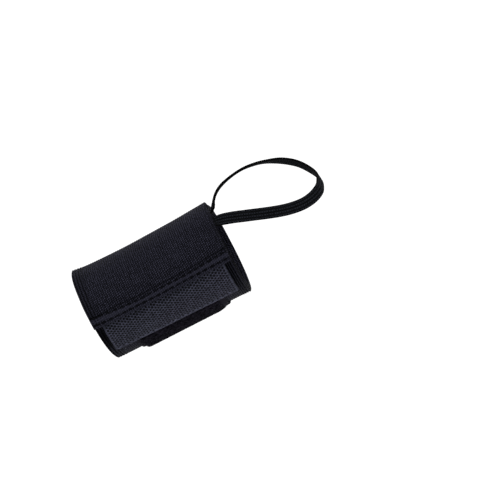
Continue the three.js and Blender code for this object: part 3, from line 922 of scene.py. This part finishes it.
def cloth_shader(tree, pattern, deep, raised, bump, roughness, specular):
    """A cloth whose pattern drives its colour and its bump.

    Its pits are dark: a depth above 0 paints shade into the colour. A depth below 0 draws the
    colour lighter and even and flattens the bump, which on the band is a painted highlight.
    """
    depth = add_node(tree, "ShaderNodeAttribute", attribute_name="depth")["Fac"]
    evened_pattern = blend_of(tree, pattern, EVEN_BRIGHTNESS, stretched(tree, depth, 0.0, FULLY_EVEN))
    lit = product(tree, evened_pattern, stretched(tree, depth, FULLY_DARK, 0.0))
    colours = {"Factor": lit, 6: linear(deep), 7: linear(raised)}
    tint = add_node(tree, "ShaderNodeMix", colours, data_type="RGBA")
    relief = add_node(tree, "ShaderNodeBump", {"Height": evened_pattern, "Strength": 0.8, "Distance": bump})
    surface(tree, tint[2], roughness, specular, Normal=relief[0])


def speckle(tree, size, low=0.0, high=1.0):
    """Noise on object coordinates, of a grain in metres, its range drawn out to 0 and 1."""
    place = add_node(tree, "ShaderNodeTexCoord")["Object"]
    noise = add_node(tree, "ShaderNodeTexNoise", {"Vector": place, "Scale": 1 / size, "Detail": 2.0})
    return stretched(tree, noise["Fac"], low, high)


# %% Ribbed elastic
def knitted_elastic():
    # Polyester knit over rubber threads: dull, soft ribs with small slanted stitches on them.
    # The stitches are drawn 1 mm long, coarser than real ones, or they would blur into grey.
    # They wander a little, by noise added to their place, because no knit is that regular.
    material, tree = new_material("black knitted elastic")
    cloth = on_cloth(tree)
    wander = speckle(tree, 1.6 * MM)
    moved = {0: wander, 1: (1.0, 0.6, 0.0), 2: cloth}
    cloth = add_node(tree, "ShaderNodeVectorMath", moved, operation="MULTIPLY_ADD")[0]
    rib, stitch = stripes(tree, cloth, 1.0, 0.0), stripes(tree, cloth, 0.25, 1.04)
    knit = product(tree, rib, stitch)
    grain = speckle(tree, 0.7 * MM, 0.38, 0.62)
    worn = speckle(tree, 9 * MM, 0.3, 0.75)
    lit = product(tree, knit, blend_of(tree, grain, 1.0, 0.25))
    pattern = blend_of(tree, stretched(tree, lit, 0.02, 0.5), worn, 0.05)
    cloth_shader(tree, pattern, 0x010102, 0x272732, 0.2 * MM, 0.9, 0.03)
    return material


# %% Woven hook tape
def woven_hook_tape():
    # Nylon tape, tighter and a little brighter than the elastic, in a plain weave. Its threads
    # are drawn 0.7 mm apart, nearly twice as coarse as real ones, so that they still show.
    material, tree = new_material("black woven nylon tape")
    cloth = on_cloth(tree)
    warp, weft = stripes(tree, cloth, 1.45, 0.0), stripes(tree, cloth, 0.0, 1.45)
    weave = add_node(tree, "ShaderNodeMath", {0: warp, 1: weft}, operation="MAXIMUM")[0]
    grain = speckle(tree, 1.1 * MM, 0.35, 0.65)
    pattern = blend_of(tree, weave, grain, 0.55)
    cloth_shader(tree, pattern, 0x010102, 0x3B3C4A, 0.1 * MM, 0.75, 0.05)
    return material


# %% Pile
def nylon_pile():
    # Fuzzy brushed loops: no gloss at all, and mottled where the tufts part.
    material, tree = new_material("black nylon pile")
    grain = speckle(tree, 0.8 * MM, 0.34, 0.66)
    tufts = speckle(tree, 1.9 * MM, 0.38, 0.62)
    pattern = blend_of(tree, grain, tufts, 0.5)
    cloth_shader(tree, pattern, 0x010102, 0x15131A, 0.15 * MM, 1.0, 0.02)
    return material


# %% Braided elastic
def braided_elastic():
    # A flat braid with lengthwise ribs and short slanted threads, duller than the band.
    material, tree = new_material("black braided elastic")
    cloth = on_cloth(tree)
    thread, counter = stripes(tree, cloth, 0.64, 0.8), stripes(tree, cloth, 0.64, -0.8)
    crossed = stretched(tree, product(tree, thread, counter), 0.05, 0.6)
    grain = speckle(tree, 0.9 * MM, 0.35, 0.65)
    pattern = blend_of(tree, crossed, grain, 0.35)
    cloth_shader(tree, pattern, 0x010101, 0x1D1F25, 0.12 * MM, 0.85, 0.03)
    return material


# %% Thread and nylon filament
def spun_thread(name, deep, raised, roughness, specular):
    material, tree = new_material(name)
    cloth_shader(tree, speckle(tree, 0.25 * MM), deep, raised, 0.03 * MM, roughness, specular)
    return material


MATERIALS = {
    "elastic": knitted_elastic(),
    "hook": woven_hook_tape(),
    "pile": nylon_pile(),
    "braid": braided_elastic(),
    "thread": spun_thread("black polyester thread", 0x010103, 0x05050A, 0.7, 0.06),
    "filament": spun_thread("black nylon filament", 0x020203, 0x09090B, 0.55, 0.08),
}
FINISHES = {elastic_band: "elastic", hook_tape: "hook", pile_tape: "pile", thumb_braid: "braid"}
for cloth_piece, finish in FINISHES.items():
    cloth_piece.data.materials.append(MATERIALS[finish])

# %% [markdown]
# ## Growing the small things
# The hem's two rows of stitches lie in the pits made for them. The patch is sewn round its rim,
# the strip's inner end and the loop's two ends are sewn down inside, where they don't show from
# the front.

# %% The hem's stitches
stitches = stitch_tree()


def hem_row(row):
    x = np.linspace(-STITCH_SPAN / 2, STITCH_SPAN / 2, 77)
    back = row_back(row, x)
    top = band_height(past_hem(-back)) + HEM_LIFT + BAND_THICKNESS / 2
    top = top + hem_thickness(back) / 2 - GROOVE_DEPTH - PIT_DEPTH + 0.03 * MM
    return above_wrist(x, past_hem(-back), top)


hem_rows = lines([hem_row(0), hem_row(1)])
hem_stitches = grown("hem_stitches", hem_rows, stitches, MATERIALS["thread"], Thread=0.36 * MM)


# %% The patch's stitches
def patch_rim():
    inset = 0.55 * PATCH_MARGIN
    left, right = PATCH_MIDDLE - PATCH_WIDTH / 2 + inset, PATCH_MIDDLE + PATCH_WIDTH / 2 - inset
    near, far = PATCH_BELOW_HEM + inset, PATCH_END - inset
    along = np.linspace(near, far, 160)
    across = np.linspace(left, right, 60)
    paths = []
    for x, distance in ((left + 0 * along, along), (across, far + 0 * across), (right + 0 * along, along)):
        height = on_band(past_hem(distance)) + pile_top(x, distance)
        paths.append(above_wrist(x, past_hem(distance), height))
    return lines(paths)


patch_stitches = grown(
    "patch_stitches", patch_rim(), stitches, MATERIALS["thread"], Pitch=2.6 * MM, Thread=0.26 * MM
)


# %% The stitches inside
def inner_rows():
    """Two rows along the strip's inner end, and three across each end of the loop."""
    x = np.linspace(-STITCH_SPAN / 2, STITCH_SPAN / 2, 77) + INWARD_DRIFT
    paths = []
    for behind in (2.5, 5.5):
        points, out = above_wrist(x, START_ANGLE + behind, -0.05 * MM)
        paths.append((points, -out))
    skin_side = LOOP_THICKNESS / 2
    for share in (0.012, 0.03, 0.048):
        for at in (share, 1 - share):
            centre = int(at * (len(loop_path) - 1))
            spread = np.linspace(-0.42, 0.42, 12)[:, None] * LOOP_WIDTH
            points = loop_path[centre] + spread * loop_across[centre] - skin_side * loop_face[centre]
            paths.append((points, np.repeat(-loop_face[centre][None, :], 12, 0)))
    return lines(paths)


small = {"Pitch": 1.7 * MM, "Length": 1.4 * MM, "Thread": 0.26 * MM}
inner_stitches = grown("inner_stitches", inner_rows(), stitches, MATERIALS["thread"], **small)

# %% The hooks and their roots
def hook_points(lift, turn):
    x, distance = hook_sites[:, 0], hook_sites[:, 1]
    height = tab_underside(x, distance) + lift
    points, out = above_wrist(x, past_hem(distance), height)
    return guide(points, turn * out)


# both shapes are in millimetres, from the point that they stand on
roots = hook_tree("hook roots", (-0.26, 0, -0.05), (0, 0, 0.12), (0.26, 0, -0.05), 6)
root_sites = hook_points(TAB_THICKNESS - HOOK_PIT, 1)
hook_roots = grown("hook_roots", root_sites, roots, MATERIALS["filament"], Filament=0.3 * MM)
hooks = hook_tree("hooks", (0, 0, -0.1), (0.05, 0, 1.1), (0.42, 0, 0.3), 5)
hook_field = grown("hook_field", hook_points(0, -1), hooks, MATERIALS["filament"], Filament=0.14 * MM)

# %% The pile's loops
def pile_field(near, far):
    """A coarse sheet over the free pile between two distances past the hem."""
    margin = PATCH_MARGIN + 0.4 * PATCH_SHOULDER
    x = PATCH_MIDDLE + np.linspace(margin - PATCH_WIDTH / 2, PATCH_WIDTH / 2 - HAND_MARGIN, 34)
    start = free_edge(x) + 0.7 * MM if near is None else near
    share = np.linspace(0, 1, 30)[:, None]
    distance = start + share * (far - start) + 0 * x
    angle = past_hem(distance)
    points, _ = above_wrist(x, angle, on_band(angle) + pile_top(x, distance))
    quads = grid_quads(np.arange(distance.size).reshape(distance.shape))
    mesh = bpy.data.meshes.new("pile field")
    mesh.from_pydata(points.reshape(-1, 3).tolist(), [], quads.tolist())
    middle_face = mesh.polygons[len(mesh.polygons) // 2]
    if middle_face.normal.dot(Vector((0, middle_face.center.y, middle_face.center.z))) < 0:
        mesh.flip_normals()
    return mesh


pile = pile_tree()
half_way = (TAB_SHOWN + PATCH_END) / 2
pile_front = grown("pile_front", pile_field(None, half_way), pile, MATERIALS["pile"], Seed=5)
pile_under = grown("pile_under", pile_field(half_way, PATCH_END - 1 * MM), pile, MATERIALS["pile"], Seed=8)

# %% [markdown]
# ## Joining the frame
# Each cloth piece stands for its solid and rides on the part's one body. The elastic is
# stretched by about a sixth when it is worn, so its flat length is shorter than the wound one.

# %% What each piece stands for
SHOWN = {
    elastic_band: ("wrist_band", "band_elastic"),
    hook_tape: ("hook_tab", "hook_tape"),
    pile_tape: ("loop_patch", "pile_tape"),
    thumb_braid: ("thumb_loop", "braided_elastic"),
}
for cloth_piece, (node, slot) in SHOWN.items():
    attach(cloth_piece, "root")
    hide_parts(node)
SMALL = {
    hem_stitches: "band_elastic",
    inner_stitches: "band_elastic",
    patch_stitches: "pile_tape",
    hook_roots: "hook_tape",
    hook_field: "hook_tape",
    pile_front: "pile_tape",
    pile_under: "pile_tape",
}
for small_piece, slot in SMALL.items():
    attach(small_piece, "root")

# %% [markdown]
# ## The studio
# A worn thing is held up, so the floor lies well below it. Floor and sky are both pale enough to
# meet without a line. A large soft light above the front gives the cloth its slow gradient, and
# a weak one behind lifts the far side.

# %% Floor, sky and lights
FLOOR_Z = -0.32
floor_mesh = bpy.data.meshes.new("studio_floor")
corners = [(-30, -30, FLOOR_Z), (30, -30, FLOOR_Z), (30, 30, FLOOR_Z), (-30, 30, FLOOR_Z)]
floor_mesh.from_pydata(corners, [], [(0, 1, 2, 3)])
studio_floor = in_scene("studio_floor", floor_mesh)
pale, pale_tree = new_material("pale matt floor")
surface(pale_tree, linear(0xFAFAFA), 1.0, 0.0)
floor_mesh.materials.append(pale)

sky = bpy.data.worlds.new("pale sky")
sky.use_nodes = True
sky_inputs = sky.node_tree.nodes["Background"].inputs
sky_inputs["Color"].default_value = (1.0, 1.0, 1.0, 1.0)
sky_inputs["Strength"].default_value = 1.15
bpy.context.scene.world = sky


def soft_light(name, place, aim, size, power):
    lamp = bpy.data.lights.new(name, "AREA")
    lamp.shape = "DISK"
    lamp.size = size
    lamp.energy = power
    holder = in_scene(name, lamp)
    holder.location = place
    holder.rotation_mode = "QUATERNION"
    holder.rotation_quaternion = (Vector(aim) - Vector(place)).to_track_quat("-Z", "Y")


soft_light("key", (0.3, -0.5, 1.2), (0.02, 0, 0), 0.9, 20)
soft_light("fill", (-0.5, 0.9, 0.7), (0.02, 0, 0), 0.9, 5)

# %% [markdown]
# ## The camera
# The photograph looks level at the thumb side, slightly from the hand, with the forearm rising
# to the right. So the camera is rolled by 27 degrees about its own view.

# %% The camera's place and roll
CAMERA_PLACE = Vector((0.102, -1.05, -0.004))
CAMERA_AIM = Vector((0.0466, 0, -0.0053))
CAMERA_ROLL = math.radians(27.1)
FOCAL_PIXELS = 2071
IMAGE_PIXELS = 500
SENSOR = 36.0

lens = bpy.data.cameras.new("camera")
lens.sensor_width = SENSOR
lens.lens = FOCAL_PIXELS / IMAGE_PIXELS * SENSOR
lens.clip_start, lens.clip_end = 0.05, 100
camera = in_scene("camera", lens)
bpy.context.scene.camera = camera
forward = (CAMERA_AIM - CAMERA_PLACE).normalized()
level_right = forward.cross(Vector((0, 0, 1))).normalized()
level_up = level_right.cross(forward)
right = level_right * math.cos(CAMERA_ROLL) - level_up * math.sin(CAMERA_ROLL)
up = level_right * math.sin(CAMERA_ROLL) + level_up * math.cos(CAMERA_ROLL)
camera.matrix_world = Matrix.Translation(CAMERA_PLACE) @ Matrix((right, up, -forward)).transposed().to_4x4()
bpy.context.scene.view_settings.view_transform = "Standard"
